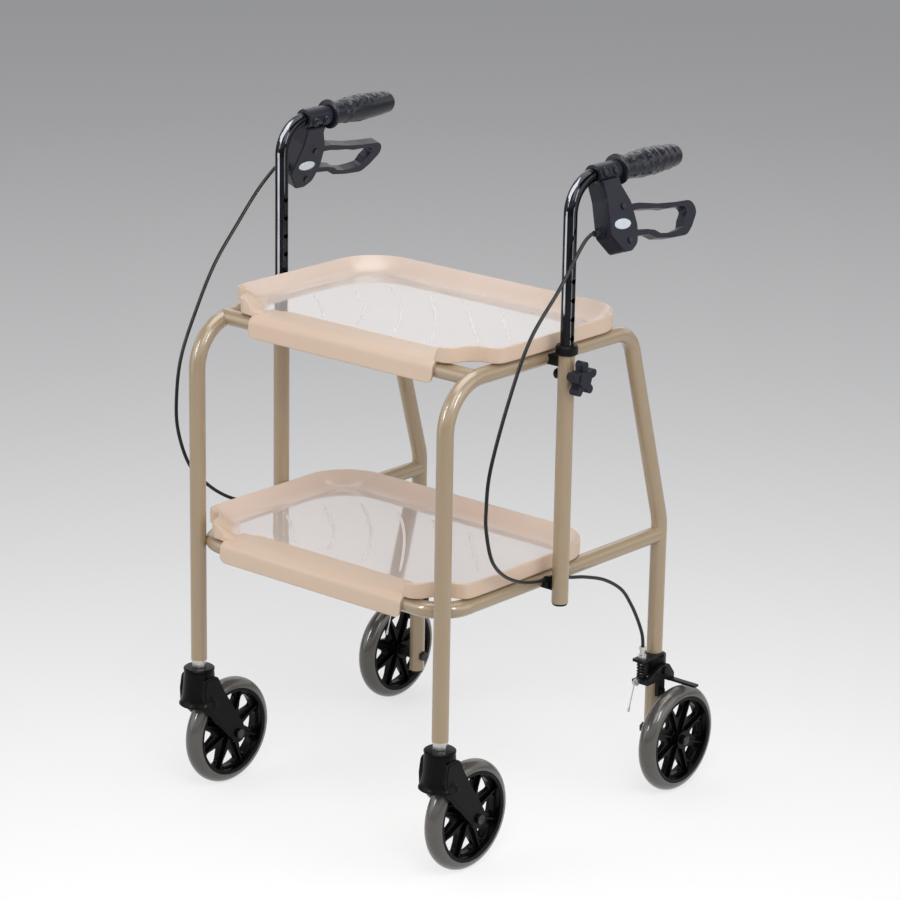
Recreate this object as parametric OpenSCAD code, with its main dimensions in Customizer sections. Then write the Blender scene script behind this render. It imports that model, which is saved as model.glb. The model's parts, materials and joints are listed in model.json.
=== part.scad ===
// Indoor walking trolley with two lift-off trays and loop brakes.
// Millimetres, +Z up, floor at z = 0, front at -Y, the user's left at +X.

/* [Frame] */
// Outer diameter of the frame tubes
tube_d = 22; // [18:0.5:25]
// Wall thickness of the frame tubes
tube_wall = 1.5; // [1:0.1:2.5]
// Distance of each side frame from the middle plane
side_x = 217; // [200:1:240]
// Height of the upper side rails, at the tube axis
rail_z = 666; // [620:1:720]
// Height of the lower frame, at the tube axis
low_z = 364; // [320:1:420]
// Fore and aft position of the front legs
front_y = -253.5; // [-280:0.5:-230]
// Fore and aft position of the rear legs and rear axle
rear_y = 200; // [180:1:230]
// Radius of the bend at the top of the front legs
front_bend_r = 65; // [45:1:90]
// Radius of the bend at the top of the rear legs
rear_bend_r = 40; // [30:1:60]
// Lean of the rear legs, as run per length
rear_lean = 0.28; // [0.2:0.01:0.36]
// Height of the knee in the rear legs
knee_z = 384; // [376:1:430]
// Fore and aft position of the upper front bar
top_bar_y = -200; // [-215:1:-185]
// Fore and aft position of the lower front bar
low_bar_y = -250; // [-256:1:-240]
// Corner radius of the lower frame
low_bend_r = 44; // [40:1:60]
// Height of the lower ends of the front legs
front_leg_z = 194; // [185:1:205]
// Height of the lower ends of the rear legs
rear_leg_z = 52; // [45:1:60]

/* [Handles] */
// Distance of the handle sockets from the middle plane
handle_x = 250; // [246:1:265]
// Fore and aft position of the handle sockets
handle_y = -56; // [-80:1:-30]
// Outer diameter of the handle tubes
handle_d = 18; // [16:0.5:18.5]
// Height of the grips, at the tube axis
grip_z = 901; // [880:1:960]
// Bend radius of the handle tubes
handle_bend_r = 45; // [35:1:60]
// Pitch of the height holes
hole_pitch = 25; // [20:1:30]
// Height of the clamp knob
knob_z = 647; // [620:1:652]
// Lower end of the handle tubes inside the sockets
handle_end_z = 560; // [520:1:590]
// Outward lean of the brake housings
cant = 20; // [0:1:30]

/* [Wheels] */
// Outer diameter of the tyres
wheel_d = 150; // [125:1:175]
// Width of the tyres
tyre_w = 27; // [22:0.5:32]
// Radius of the rim seat under the tyre
seat_r = 62; // [58:0.5:66]
// Distance the castor axle trails behind the stem
trail = 53.5; // [40:0.5:60]
// Distance of the rear wheels from the middle plane
rear_wheel_x = 258.5; // [255:0.5:275]
// Number of openings in each rim
rim_holes = 8; // [5:1:10]

/* [Trays] */
// Width of each tray over the rim
tray_w = 464; // [440:1:470]
// Length of each tray from the front bar to the back edge
tray_len = 308; // [290:1:330]
// Width of the front lip that hooks over the bar
lip_w = 320; // [260:2:324]
// Height of the rim above the bar axis, at the back
rim_h = 34.5; // [28:0.5:45]
// Height of the rim above the bar axis, beside the front legs
front_rim_h = 34; // [26:0.5:40]
// Sideways offset of the lower tray
low_tray_x = -5; // [-5:1:5]

/* [Hidden] */
$fn = 64;

beige = [0.67, 0.61, 0.50];
cream = [0.86, 0.77, 0.69];
black = [0.07, 0.07, 0.08];
grey = [0.42, 0.41, 0.39];
steel = [0.72, 0.72, 0.74];

tube_r = tube_d / 2;
bore_r = tube_r - tube_wall;
hr = handle_d / 2;
axle_z = wheel_d / 2;
top_z = rail_z + tube_r;
slant = asin(rear_lean);
rear_top_y = rear_y - (rail_z - knee_z) * tan(slant);
rear_turn = 90 - slant;
rear_t = rear_bend_r * tan(rear_turn / 2);
knee_r = 70;
knee_t = knee_r * tan(slant / 2);
sock_top = rail_z + 9;
sock_bot = low_z - 25;
saddle_w = 18;
clip_y = handle_y - saddle_w / 2;
clip_z = low_z + 6.2;
cable_r = 2.4;
squeeze_pin = [-6, 60];
rock_pin = [-18, 91];
top_screw = [-15, 47.5];
arm_y = 196;
arm_z = 170;
spring_y = 166;
spring_x = 222;

// ---------- helpers ----------
function unit(v) = v / norm(v);
function lerp(a, b, t) = a + (b - a) * t;
function sstep(t) = let (u = max(0, min(1, t))) u * u * (3 - 2 * u);
function bez(p, t) = pow(1 - t, 3) * p[0] + 3 * pow(1 - t, 2) * t * p[1] + 3 * (1 - t) * t * t * p[2] + pow(t, 3) * p[3];
function catmull(a, b, c, d, t) = 0.5 * (2 * b + (c - a) * t + (2 * a - 5 * b + 4 * c - d) * t * t + (3 * b - a - 3 * c + d) * t * t * t);
function spline(p, n) = let (m = len(p) - 1) concat(
  [for (i = [0 : m - 1], k = [0 : n - 1]) catmull(p[max(i - 1, 0)], p[i], p[i + 1], p[min(i + 2, m)], k / n)], [p[m]]);
// signed area, for the inward side of an outline
function sa(p, i = 0, s = 0) = i == len(p) ? s : sa(p, i + 1, s + p[i][0] * p[(i + 1) % len(p)][1] - p[(i + 1) % len(p)][0] * p[i][1]);
function xy(p) = [p[0], p[1]];
// outline of [x, y, radius] corners moved inward by d
function inset(p, d) = let (g = sign(sa(p)), m = len(p)) [for (i = [0 : m - 1])
  let (b = xy(p[i]), e1 = unit(b - xy(p[(i + m - 1) % m])), e2 = unit(xy(p[(i + 1) % m]) - b),
    n1 = g * [-e1[1], e1[0]], n2 = g * [-e2[1], e2[0]], q = b + d * (n1 + n2) / (1 + n1 * n2))
  [q[0], q[1], max(0.6, p[i][2] - d)]];
// outline of [x, y, radius] corners with the corners rounded
function rp(p, n = 5) = let (m = len(p)) [for (i = [0 : m - 1])
  let (b = xy(p[i]), u = unit(xy(p[(i + m - 1) % m]) - b), v = unit(xy(p[(i + 1) % m]) - b), r = p[i][2],
    h = acos(u * v) / 2, c = b + unit(u + v) * r / sin(h), s = b + u * r / tan(h) - c, e = b + v * r / tan(h) - c,
    a0 = atan2(s[1], s[0]), d0 = atan2(e[1], e[0]) - a0, da = d0 > 180 ? d0 - 360 : d0 < -180 ? d0 + 360 : d0)
  for (k = [0 : n]) c + r * [cos(a0 + da * k / n), sin(a0 + da * k / n)]];
// points given as [along, below the grip axis, radius], as seen in the housing's own plane
function hp(p) = [for (q = p) [q[0] + 30, -q[1], q[2]]];

module right() mirror([1, 0, 0]) children();
module pair() { children(); mirror([1, 0, 0]) children(); }
module rod(p, q, d) { v = q - p; translate(p) rotate([0, acos(v[2] / norm(v)), atan2(v[1], v[0])]) cylinder(h = norm(v), d = d); }
module xrod(x0, x1, y, z, r) translate([x0, y, z]) rotate([0, 90, 0]) cylinder(h = x1 - x0, r = r);
module plate_yz(x0, x1, pts) translate([x0, 0, 0]) rotate([90, 0, 90]) linear_extrude(x1 - x0) polygon(pts);
// arc in a plane of constant x; angle t lies at R * (sin t, -cos t) in y and z
module bend_yz(c, R, t0, t1, d) translate([0, c[0], c[1]]) rotate([0, 90, 0]) rotate([0, 0, t0])
  rotate_extrude(angle = t1 - t0) translate([R, 0]) circle(d = d);
// the same arc from 90 to 180 degrees, parted at angle tc: the upper stretch, or the lower one
module part_bend_yz(c, R, tc, d, upper) translate([0, c[0], c[1]]) rotate([0, 90, 0]) {
  if (upper) intersection() {
    rotate([0, 0, 90]) rotate_extrude(angle = 90) translate([R, 0]) circle(d = d);
    rotate([0, 0, tc]) translate([0, 0, -d]) cube([R + d, R + d, 2 * d]);
  } else difference() {
    rotate([0, 0, 90]) rotate_extrude(angle = 90) translate([R, 0]) circle(d = d);
    rotate([0, 0, tc]) translate([0, 0, -d]) cube([R + d, R + d, 2 * d]);
  }
}
// tube swept along points
module sweep(pts, r, n) {
  m = len(pts);
  ring = [for (i = [0 : m - 1]) let (t = unit(pts[min(i + 1, m - 1)] - pts[max(i - 1, 0)]),
    u = unit(cross(t, [1, 0, 0])), v = cross(t, u)) for (k = [0 : n - 1]) pts[i] + r * (cos(360 * k / n) * u + sin(360 * k / n) * v)];
  polyhedron(ring, concat(
    [[for (k = [0 : n - 1]) n - 1 - k]], [[for (k = [0 : n - 1]) (m - 1) * n + k]],
    [for (i = [0 : m - 2], k = [0 : n - 1]) [i * n + k, i * n + (k + 1) % n, (i + 1) * n + (k + 1) % n]],
    [for (i = [0 : m - 2], k = [0 : n - 1]) [i * n + k, (i + 1) * n + (k + 1) % n, (i + 1) * n + k]]), convexity = 10);
}

// ---------- frame ----------
module side_path(d, e = 0) translate([side_x, 0, 0]) {
  rod([0, front_y, front_leg_z - e], [0, front_y, rail_z - front_bend_r], d);
  bend_yz([front_y + front_bend_r, rail_z - front_bend_r], front_bend_r, 180, 270, d);
  rod([0, front_y + front_bend_r, rail_z], [0, rear_top_y - rear_t, rail_z], d);
  part_bend_yz([rear_top_y - rear_t, rail_z - rear_bend_r], rear_bend_r, 90 + slant, d, true);
  rod([0, rear_top_y + rear_t * sin(slant), rail_z - rear_t * cos(slant)], [0, rear_y - knee_t * sin(slant), knee_z + knee_t * cos(slant)], d);
  part_bend_yz([rear_y - knee_r, knee_z - knee_t], knee_r, 90 + slant, d, false);
  rod([0, rear_y, rear_leg_z - e], [0, rear_y, knee_z - knee_t], d);
}
module left_side_frame() color(beige) difference() {
  side_path(tube_d);
  side_path(2 * bore_r, 1);
  xrod(side_x - 20, side_x + 20, rear_y, axle_z, 4.1);
  xrod(side_x - 20, side_x + 20, handle_y, rail_z, 2.6);
}
module right_side_frame() right() left_side_frame();
module top_crossbar() color(beige) difference() {
  rod([-side_x, top_bar_y, rail_z], [side_x, top_bar_y, rail_z], tube_d);
  rod([-side_x - 1, top_bar_y, rail_z], [side_x + 1, top_bar_y, rail_z], 2 * bore_r);
  pair() side_path(tube_d);
}
module low_path(d) {
  yc = low_bar_y + low_bend_r;
  xc = side_x - low_bend_r;
  rod([-xc, low_bar_y, low_z], [xc, low_bar_y, low_z], d);
  pair() {
    rod([side_x, yc, low_z], [side_x, rear_y, low_z], d);
    translate([xc, yc, low_z]) rotate([0, 0, 270]) rotate_extrude(angle = 90) translate([low_bend_r, 0]) circle(d = d);
  }
}
module lower_frame() color(beige) difference() {
  low_path(tube_d);
  low_path(2 * bore_r);
  pair() side_path(tube_d);
  pair() xrod(side_x - 20, side_x + 20, handle_y, low_z, 2.6);
}
module left_socket() color(beige) difference() {
  translate([handle_x, handle_y, sock_bot]) cylinder(h = sock_top - sock_bot, r = tube_r);
  translate([handle_x, handle_y, sock_bot - 1]) cylinder(h = sock_top - sock_bot + 2, r = hr + 0.05);
  xrod(handle_x, handle_x + 20, handle_y, knob_z, 4.4);
  for (z = [rail_z, low_z]) xrod(handle_x - 20, handle_x, handle_y, z, 2.6);
}
module right_socket() right() left_socket();
module saddle(z0, z1) difference() {
  translate([side_x + 3, handle_y - saddle_w / 2, z0]) cube([handle_x - side_x - 5, saddle_w, z1 - z0]);
  rod([side_x, handle_y - 40, z0 < 500 ? low_z : rail_z], [side_x, handle_y + 40, z0 < 500 ? low_z : rail_z], tube_d);
  translate([handle_x, handle_y, z0 - 1]) cylinder(h = z1 - z0 + 2, r = tube_r);
  xrod(side_x, handle_x, handle_y, z0 < 500 ? low_z : rail_z, 2.6);
}
module socket_saddles() color(black) pair() {
  saddle(rail_z - 7, rail_z + 6);
  saddle(low_z - 8, low_z + 3.4);
}
module socket_bolts() color(steel) pair() for (z = [rail_z, low_z]) {
  xrod(side_x - tube_r - 1, handle_x - hr - 0.5, handle_y, z, 2.5);
  difference() {
    xrod(side_x - tube_r - 3.5, side_x - tube_r + 1, handle_y, z, 4.6);
    rod([side_x, handle_y - 30, z], [side_x, handle_y + 30, z], tube_d);
  }
}
module collars() color(black) pair() difference() {
  union() {
    translate([handle_x, handle_y, sock_top]) cylinder(h = 1.4, r1 = 13.4, r2 = 14.6);
    translate([handle_x, handle_y, sock_top + 1.4]) cylinder(h = 8.6, r = 14.6);
    translate([handle_x, handle_y, sock_top + 10]) cylinder(h = 3, r1 = 14.6, r2 = 12);
  }
  translate([handle_x, handle_y, sock_top - 1]) cylinder(h = 30, r = hr + 0.35);
}
module socket_plugs() color(black) pair() translate([handle_x, handle_y, sock_bot]) {
  translate([0, 0, -3]) cylinder(h = 3, r1 = tube_r - 1.5, r2 = tube_r);
  cylinder(h = 8, r = hr);
}
module clamp_heads() color(black) pair() difference() {
  union() {
    xrod(handle_x - tube_r - 4, handle_x - tube_r + 3, handle_y, knob_z, 7);
    translate([handle_x - tube_r - 6, handle_y, knob_z]) rotate([0, 90, 0]) cylinder(h = 2, r1 = 5.4, r2 = 7);
  }
  translate([handle_x, handle_y, knob_z - 20]) cylinder(h = 40, r = tube_r);
}
module leg_plugs() color(black) pair() translate([side_x, rear_y, rear_leg_z]) {
  translate([0, 0, -3]) cylinder(h = 3, r1 = tube_r - 1.5, r2 = tube_r);
  cylinder(h = 10, r = bore_r);
}
module castor_stems() color(steel) pair() translate([side_x, front_y, 0]) {
  translate([0, 0, front_leg_z]) cylinder(h = 25, r = bore_r);
  translate([0, 0, front_leg_z - 2.5]) cylinder(h = 2.5, r = tube_r - 0.5);
  translate([0, 0, front_leg_z - 10.5]) cylinder(h = 8, r = 9.8, $fn = 6);
  translate([0, 0, 150]) cylinder(h = front_leg_z - 150, r = 5);
}
module rear_axles() color(steel) pair() {
  xrod(side_x - tube_r - 1, rear_wheel_x + 17, rear_y, axle_z, 4);
  difference() {
    union() {
      xrod(side_x + tube_r - 2, rear_wheel_x - 14.3, rear_y, axle_z, 8);
      translate([side_x - tube_r - 5, rear_y, axle_z]) rotate([0, 90, 0]) cylinder(h = 6, r = 7.5, $fn = 6);
    }
    translate([side_x, rear_y, axle_z - 20]) cylinder(h = 40, r = tube_r);
  }
  translate([rear_wheel_x + 14.3, rear_y, axle_z]) rotate([0, 90, 0]) cylinder(h = 5, r = 7.5, $fn = 6);
  translate([rear_wheel_x + 19.3, rear_y, axle_z]) rotate([0, 90, 0]) cylinder(h = 1.2, r1 = 6, r2 = 4.5);
}

// ---------- brakes at the wheels ----------
module left_brake_bracket() color(black) {
  difference() {
    union() {
      translate([side_x, rear_y, 160]) cylinder(h = 28, r = 16.5);
      translate([spring_x - 9, spring_y - 10, 188]) cube([18, rear_y - spring_y + 14, 4]);
      xrod(side_x + 8, side_x + 17.2, arm_y, arm_z, 8);
      translate([side_x + 8, rear_y - 7, 130]) cube([6.5, 14, 34]);
    }
    translate([side_x, rear_y, 120]) cylinder(h = 90, r = tube_r);
  }
  xrod(side_x + 17.2, side_x + 23.4, arm_y, arm_z, 3);
  xrod(side_x + 23.4, side_x + 26, arm_y, arm_z, 5.5);
  translate([side_x + 14.5, rear_y, 137]) rotate([0, 90, 0]) cylinder(h = 3.2, r = 5, $fn = 6);
}
module right_brake_bracket() right() left_brake_bracket();
module cable_adjusters() color(steel) pair() translate([spring_x, spring_y, 192]) {
  cylinder(h = 5, r = 6.2, $fn = 6);
  translate([0, 0, 5]) cylinder(h = 8, r = 3.6);
  translate([0, 0, 13]) cylinder(h = 4, r = 4.6);
}
module left_brake_arm() color(black) difference() {
  union() {
    plate_yz(side_x + 17.8, side_x + 22.8, rp([[156, 158, 1.5], [156, 166, 3], [184, 178, 8], [204, 179, 8], [217, 162, 5], [217, 151.8, 1], [207, 151.8, 1], [190, 160, 8], [174, 158, 6]]));
    translate([spring_x - 9, 156, 158]) cube([side_x + 22.8 - spring_x + 9, 18, 4]);
    plate_yz(side_x + 22.8, 282, rp([[207, 151.8, 1], [217, 151.8, 1], [217, 155.3, 1], [207, 155.3, 1]]));
  }
  xrod(side_x + 10, side_x + 30, arm_y, arm_z, 3.05);
}
module right_brake_arm() right() left_brake_arm();
module left_cable_anchor() color(steel) {
  translate([spring_x, 156, 160]) rotate([90, 0, 0]) cylinder(h = 4, r = 5, $fn = 6);
  translate([spring_x, 152, 160]) rotate([90, 0, 0]) cylinder(h = 4, r = 2.5);
  rod([spring_x, 150, 158.5], [spring_x, 139, 124], 1.6);
  rod([spring_x, 140, 127], [spring_x, 138, 121], 3);
}
module right_cable_anchor() right() left_cable_anchor();
module left_brake_spring() color(black) {
  turns = 6; n = 14; m = turns * n; s = 6; w = 1.2; R = 6.2; z0 = 163.6; z1 = 186.4;
  pts = [for (i = [0 : m]) let (a = 360 * i / n, t = unit([-sin(a), cos(a), (z1 - z0) / (m * 2 * PI * R / n)]),
    u = [cos(a), sin(a), 0], v = cross(t, u), c = [spring_x + R * cos(a), spring_y + R * sin(a), z0 + (z1 - z0) * i / m])
    for (k = [0 : s - 1]) c + w * (cos(360 * k / s) * u + sin(360 * k / s) * v)];
  polyhedron(pts, concat(
    [[for (k = [0 : s - 1]) s - 1 - k]], [[for (k = [0 : s - 1]) m * s + k]],
    [for (i = [0 : m - 1], k = [0 : s - 1]) [i * s + k, i * s + (k + 1) % s, (i + 1) * s + (k + 1) % s]],
    [for (i = [0 : m - 1], k = [0 : s - 1]) [i * s + k, (i + 1) * s + (k + 1) % s, (i + 1) * s + k]]), convexity = 12);
}
module right_brake_spring() right() left_brake_spring();

// ---------- cables, held at the housing, the clip and the adjuster ----------
left_route = [[274.6, -38.3, 833.3], [274.6, -41.5, 833.3], [274.6, -46, 832.8], [274.5, -62, 821.5], [273.5, -103, 774], [270.5, -156, 717], [266.5, -190, 645],
  [262, -218, 560], [259.5, -222, 507], [257, -217.5, 475], [253, -200.5, 433], [247, -169.5, 404], [240.5, -128.5, 383], [237.3, -93, 373], [236, -72, 370.4], [236, clip_y, clip_z]];
right_route = [[-274.6, -38.3, 833.3], [-274.6, -41.5, 833.3], [-274.6, -46, 832.8], [-276.4, -75, 808.5], [-279, -109, 771], [-281, -155, 718], [-282, -192, 656],
  [-280, -221, 600], [-277, -233, 545], [-273.5, -233.5, 501], [-268, -219, 453], [-259.5, -194, 421], [-252, -162, 397], [-244, -124, 381], [-238.3, -92, 373], [-236, -72, 370.4], [-236, clip_y, clip_z]];
lower_route = [[236, clip_y + 0.4, clip_z], [236, -46, clip_z], [235.8, -34, 367], [235, -18, 360], [234.5, 16, 351.5], [232.5, 62, 335], [230, 103, 310],
  [227.5, 129, 281], [225, 148, 254], [223, 161.5, 230], [222, 166, 215], [222, 166, 209.6]];
module left_cable_upper() color(black) sweep(spline(left_route, 5), cable_r, 8);
module right_cable_upper() color(black) sweep(spline(right_route, 5), cable_r, 8);
module left_cable_lower() color(black) sweep(spline(lower_route, 4), cable_r, 8);
module right_cable_lower() right() left_cable_lower();
module cable_clips() color(black) pair() difference() {
  union() {
    rod([236, clip_y - 4, clip_z], [236, clip_y, clip_z], 9);
    translate([232.5, clip_y - 4, low_z - 6]) cube([7, 4, 12]);
  }
  rod([236, clip_y - 6, clip_z], [236, clip_y + 2, clip_z], 2 * cable_r + 0.8);
}

// ---------- castors and wheels ----------
blade = [[-14, 129, 3], [-15, 150, 6], [-11, 171, 6], [13, 171, 10], [23, 150, 30], [66, 82, 5], [44, 66, 5]];
module left_fork() color(black) translate([side_x, front_y, 0]) difference() {
  union() {
    rotate_extrude() polygon([[0, 129], [27, 129], [27.9, 129.8], [27.6, 131.2], [25.2, 136], [23.8, 142], [22.6, 152], [20.6, 178], [0, 178]]);
    for (x = [-22.6, 17.4]) plate_yz(x, x + 5.2, rp(blade));
    for (x = [-23.2, 22.6]) plate_yz(x, x + 0.6, rp(inset(blade, 3.4)));
    xrod(-23.2, -17.4, trail, axle_z, 13.5);
    xrod(17.4, 23.2, trail, axle_z, 13.5);
  }
  xrod(-17.4, 17.4, trail, axle_z, wheel_d / 2 + 4);
  translate([0, 0, 149.5]) cylinder(h = 40, r = 5.05);
  xrod(-30, 30, trail, axle_z, 4);
}
module right_fork() right() left_fork();
module left_fork_cap() color(black) translate([side_x, front_y, 178]) difference() {
  rotate_extrude() polygon([[5.05, 0], [20, 0], [21.2, 1], [21.2, 3.2], [19.6, 4.4], [12, 5], [5.05, 5]]);
}
module right_fork_cap() right() left_fork_cap();
module left_castor_axle() color(steel) {
  translate([side_x, front_y + trail, axle_z]) {
    xrod(-26, 26, 0, 0, 4);
    for (s = [-1, 1]) {
      xrod(s > 0 ? 23.2 : -27.4, s > 0 ? 27.4 : -23.2, 0, 0, 6.5);
      xrod(s > 0 ? 14.4 : -17.4, s > 0 ? 17.4 : -14.4, 0, 0, 6.5);
    }
  }
}
module right_castor_axle() right() left_castor_axle();
module tyre() rotate([0, 90, 0]) rotate_extrude($fn = 96) difference() {
  translate([wheel_d / 2 - tyre_w / 2, 0]) circle(d = tyre_w);
  translate([0, -30]) square([seat_r, 60]);
}
module rim() difference() {
  union() {
    rotate([0, 90, 0]) rotate_extrude($fn = 96) polygon([[56.5, -12], [57.5, -13], [seat_r, -13], [seat_r, 13], [57.5, 13], [56.5, 12]]);
    difference() {
      xrod(-3.5, 3.5, 0, 0, 57);
      for (i = [0 : rim_holes - 1]) rotate([i * 360 / rim_holes, 0, 0])
        plate_yz(-10, 10, rp([[27, 0, 3], [53.4, 17.4, 6], [53.4, -17.4, 6]]));
    }
    for (i = [0 : rim_holes - 1]) rotate([(i + 0.5) * 360 / rim_holes, 0, 0]) translate([-8, 12, -1.2]) cube([16, 45, 2.4]);
    xrod(-14, 14, 0, 0, 13);
  }
  xrod(-30, 30, 0, 0, 4.05);
}
module at_front() translate([side_x, front_y + trail, axle_z]) children();
module at_rear() translate([rear_wheel_x, rear_y, axle_z]) children();
module left_front_rim() color(black) at_front() rim();
module right_front_rim() right() left_front_rim();
module left_front_tyre() color(grey) at_front() tyre();
module right_front_tyre() right() left_front_tyre();
module left_rear_rim() color(black) at_rear() rim();
module right_rear_rim() right() left_rear_rim();
module left_rear_tyre() color(grey) at_rear() tyre();
module right_rear_tyre() right() left_rear_tyre();

// ---------- handles ----------
module canted() translate([handle_x, 0, grip_z]) rotate([0, -cant, 0]) children();
module handle_path(d, e = 0) translate([handle_x, 0, 0]) {
  rod([0, handle_y, handle_end_z - e], [0, handle_y, grip_z - handle_bend_r], d);
  bend_yz([handle_y + handle_bend_r, grip_z - handle_bend_r], handle_bend_r, 180, 270, d);
  rod([0, handle_y + handle_bend_r, grip_z], [0, 150 + e, grip_z], d);
}
clamp_ys = [-1, 20];
module left_handle_tube() color(steel) difference() {
  handle_path(handle_d);
  handle_path(handle_d - 3, 1);
  for (k = [-2 : 6]) xrod(handle_x - 20, handle_x + 20, handle_y, knob_z + k * hole_pitch, 4);
  canted() for (y = clamp_ys) xrod(-20, 20, y, 0, 2);
}
module right_handle_tube() right() left_handle_tube();
module left_grip() color(black) translate([handle_x, 34, grip_z]) rotate([-90, 0, 0]) rotate_extrude()
  polygon([[hr, 0], [17, 0], [20.2, 1.5], [20.2, 5], [18.2, 7], [15.2, 9], [14.8, 12], [15.4, 20], [17, 34], [18.4, 52], [18.6, 66],
    [18, 84], [16.8, 102], [15.6, 114], [14.6, 121], [12.8, 125.5], [9, 128], [0, 128.6], [0, 116], [hr, 116]]);
module right_grip() right() left_grip();
housing_pts = hp([[-43, 10, 2], [-43, 34, 20], [-53, 79, 9], [-34, 104, 8], [-17, 104.5, 12], [-3, 97, 14], [5, 75, 20], [4, 44, 30], [-8, 19, 12], [-7, 10, 2]]);
module half_shell(s) difference() {
  union() {
    difference() {
      plate_yz(s > 0 ? 0 : -12, s > 0 ? 12 : 0, rp(housing_pts));
      plate_yz(s > 0 ? -1 : -8.6, s > 0 ? 8.6 : 1, rp(inset(housing_pts, 3)));
      translate([s > 0 ? -1 : -8.6, 24, -97.5]) cube([9.6, 30, 58]);
    }
    for (q = [[12, 12.5, 0.3], [12.5, 13, 0.8], [13, 13.4, 1.6]]) plate_yz(s > 0 ? q[0] : -q[1], s > 0 ? q[1] : -q[0], rp(inset(housing_pts, q[2])));
    xrod(s > 0 ? 0 : -9, s > 0 ? 9 : 0, top_screw[0] + 30, -top_screw[1], 4.5);
    xrod(s > 0 ? 3 : -9, s > 0 ? 9 : -3, rock_pin[0] + 30, -rock_pin[1], 4.5);
  }
  xrod(-20, 20, top_screw[0] + 30, -top_screw[1], 2.5);
  xrod(-20, 20, rock_pin[0] + 30, -rock_pin[1], 2.5);
  translate([0, -40, 0]) rotate([-90, 0, 0]) cylinder(h = 90, r = hr);
}
module clamp_half(s) difference() {
  intersection() {
    union() {
      translate([0, -13, 0]) rotate([-90, 0, 0]) cylinder(h = 45, r = 13.2);
      for (y = clamp_ys) xrod(-14.8, 14.8, y, 0, 6.4);
    }
    translate([s > 0 ? 0 : -20, -20, -20]) cube([20, 60, 40]);
  }
  translate([0, -40, 0]) rotate([-90, 0, 0]) cylinder(h = 90, r = hr);
  for (y = clamp_ys) {
    xrod(-20, 20, y, 0, 2);
    if (s > 0) xrod(12.8, 20, y, 0, 4.6);
    else translate([-20, y, 0]) rotate([0, 90, 0]) cylinder(h = 7.2, r = 4.6, $fn = 6);
  }
}
module left_housing() color(black) canted() {
  difference() {
    union() {
      half_shell(1);
      clamp_half(1);
    }
    for (y = clamp_ys) xrod(-20, 20, y, 0, 2);
  }
  difference() {
    union() {
      translate([0, -38, -72]) rotate([-90, 0, 0]) cylinder(h = 22, r = 4);
      translate([0, -28, -72]) rotate([-90, 0, 0]) cylinder(h = 12, r = 6.2);
    }
    plate_yz(-12, 12, rp(housing_pts));
  }
}
module right_housing() right() left_housing();
module left_housing_cover() color(black) canted() difference() {
  union() {
    half_shell(-1);
    clamp_half(-1);
  }
  for (y = clamp_ys) xrod(-20, 20, y, 0, 2);
}
module right_housing_cover() right() left_housing_cover();
module left_housing_screws() color(steel) canted() {
  for (p = [top_screw, rock_pin]) {
    xrod(-14.6, 14.6, p[0] + 30, -p[1], 2.5);
    xrod(13.4, 15.2, p[0] + 30, -p[1], 4.2);
    xrod(-15.2, -13.4, p[0] + 30, -p[1], 4.2);
  }
  for (y = clamp_ys) {
    xrod(-13.5, 13.5, y, 0, 2);
    xrod(12.8, 14.2, y, 0, 4.2);
    translate([-15.6, y, 0]) rotate([0, 90, 0]) cylinder(h = 2.8, r = 4.2, $fn = 6);
  }
}
module right_housing_screws() right() left_housing_screws();
module left_rocker() color(steel) canted() difference() {
  union() {
    plate_yz(-2.5, 2.5, rp(hp([[-26, 92, 6], [-16, 99, 6], [-9, 92, 6], [1, 62, 6], [-2, 53, 5], [-10, 53, 5], [-14, 60, 6]])));
  }
  xrod(-10, 10, rock_pin[0] + 30, -rock_pin[1], 2.55);
  xrod(-10, 10, squeeze_pin[0] + 30, -squeeze_pin[1], 2.55);
}
module right_rocker() right() left_rocker();
lever_out = hp([[-2, 46, 3], [26, 48, 20], [62, 55, 30], [95, 58.7, 30], [131, 61, 14], [139.5, 76, 12], [120, 95, 30], [106, 104, 20], [72, 102, 30], [45.5, 98, 10], [31.8, 90.7, 10], [4, 88, 10], [-4, 84, 4], [-13, 68, 6], [-13, 55, 6]]);
lever_in = hp([[5, 55.5, 3], [24.5, 55.8, 6], [39, 58.2, 8], [60, 60.7, 10], [76, 64.3, 8], [92, 64.6, 12], [114, 66.8, 8], [118.4, 73.8, 5], [107.4, 84.2, 10], [102.5, 93.3, 8], [87, 94.9, 12], [69, 95.3, 8], [53, 92.6, 6], [44, 86.9, 6], [30, 83.5, 6], [5, 80, 3]]);
module left_lever() color(black) canted() {
  difference() {
    plate_yz(-7, 7, rp(lever_out));
    plate_yz(-8, 8, rp(lever_in));
    translate([-2.9, 10, -110]) cube([5.8, 24.5, 80]);
  }
  xrod(-7, 7, squeeze_pin[0] + 30, -squeeze_pin[1], 2.5);
}
module right_lever() right() left_lever();
module left_knob() color(black) translate([handle_x, handle_y, knob_z]) {
  xrod(hr + 0.7, 14, 0, 0, 4);
  xrod(tube_r + 0.6, 18, 0, 0, 8.5);
  xrod(17.5, 33, 0, 0, 11.5);
  for (i = [0 : 4]) rotate([i * 72 + 18, 0, 0]) {
    xrod(18.5, 31.5, 18, 0, 5.6);
    translate([18.5, 0, -5.2]) cube([13, 18, 10.4]);
  }
}
module right_knob() right() left_knob();

// ---------- trays, drawn about the front bar's axis ----------
tw = tray_w / 2;
tl = tray_len;
tz_b = tube_r + 0.4;
tz_f = tube_r + 3.2;
// outer edge and foot of the rim, where it waves round the front legs
wave_o = [[158, -8], [164, -10.6], [174, -11], [185, -3.5], [192, 14], [204, 26], [218, 29.5], [229.4, 38], [231.8, 62], [232, 100]];
wave_i = [[146, 30], [150, 28], [156, 28], [163, 32], [171, 40], [180, 48], [188, 57], [194, 68], [197.4, 84], [198, 106]];
function wx(q) = [q[0] * tw / 232, q[1]];
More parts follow.
